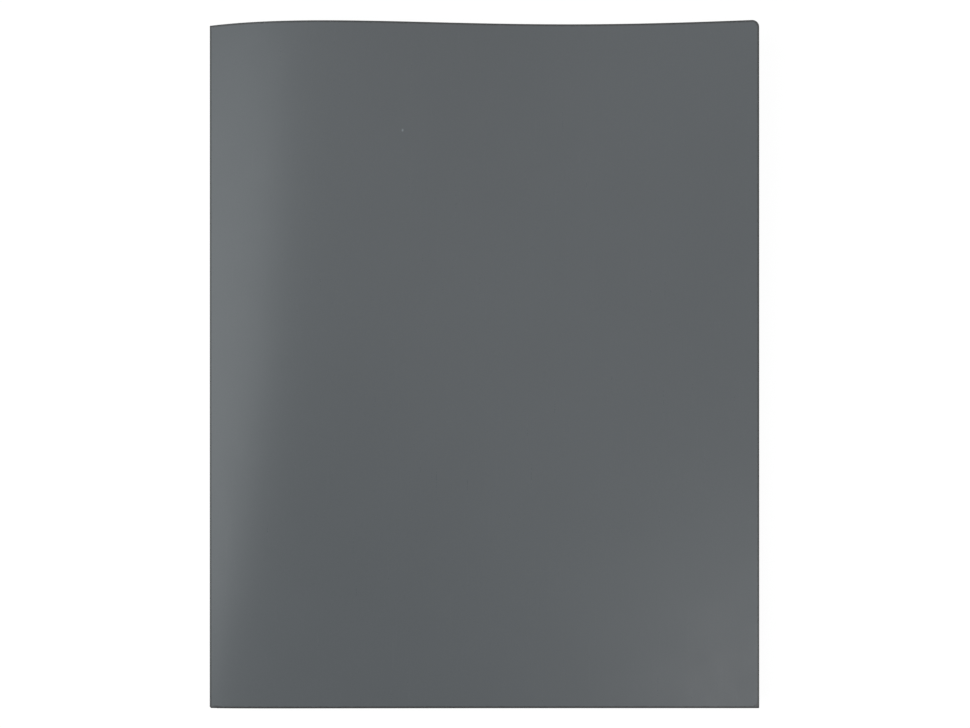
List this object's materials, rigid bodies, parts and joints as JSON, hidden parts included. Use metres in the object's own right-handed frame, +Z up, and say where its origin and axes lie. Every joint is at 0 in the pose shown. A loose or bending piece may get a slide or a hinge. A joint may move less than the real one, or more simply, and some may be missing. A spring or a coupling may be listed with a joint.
{
  "type": "two pocket folder",
  "caption": "Closed plastic document folder with a creased spine, a bowed front cover and a paper pocket folded up inside each cover.",
  "frame": {"origin": "under the middle of the closed folder, on the surface that it lies on", "axes": "+X from the spine to the fore-edge, +Y from the folded bottom edge to the top edge, +Z up out of the front cover"},
  "size_m": [0.235, 0.292, 0.0203],
  "materials": {
    "cover_sheet": "satin, very fine grain",
    "pocket_sheet": "satin, very fine grain",
    "crease": "pressed smooth",
    "weld": "melted"
  },
  "bodies": {
    "back": {"back_cover": "cover_sheet", "back_bottom_fold": "cover_sheet", "back_pocket_flap": "pocket_sheet", "back_pocket_welds": "weld"},
    "spine": {"back_crease": "crease", "spine_panel": "cover_sheet", "front_crease": "crease"},
    "front": {"front_cover": "cover_sheet", "front_bottom_fold": "cover_sheet", "front_pocket_flap": "pocket_sheet", "front_pocket_welds": "weld"}
  },
  "joints": [
    {"name": "back_crease_hinge", "type": "hinge", "parent": "back", "child": "spine", "pos_m": [-0.1171, 0, 0.0004], "axis": [0, -1, 0], "range_deg": [0, 90]},
    {"name": "front_crease_hinge", "type": "hinge", "parent": "spine", "child": "front", "pos_m": [-0.1171, 0, 0.0099], "axis": [0, -1, 0], "range_deg": [0, 90]}
  ]
}
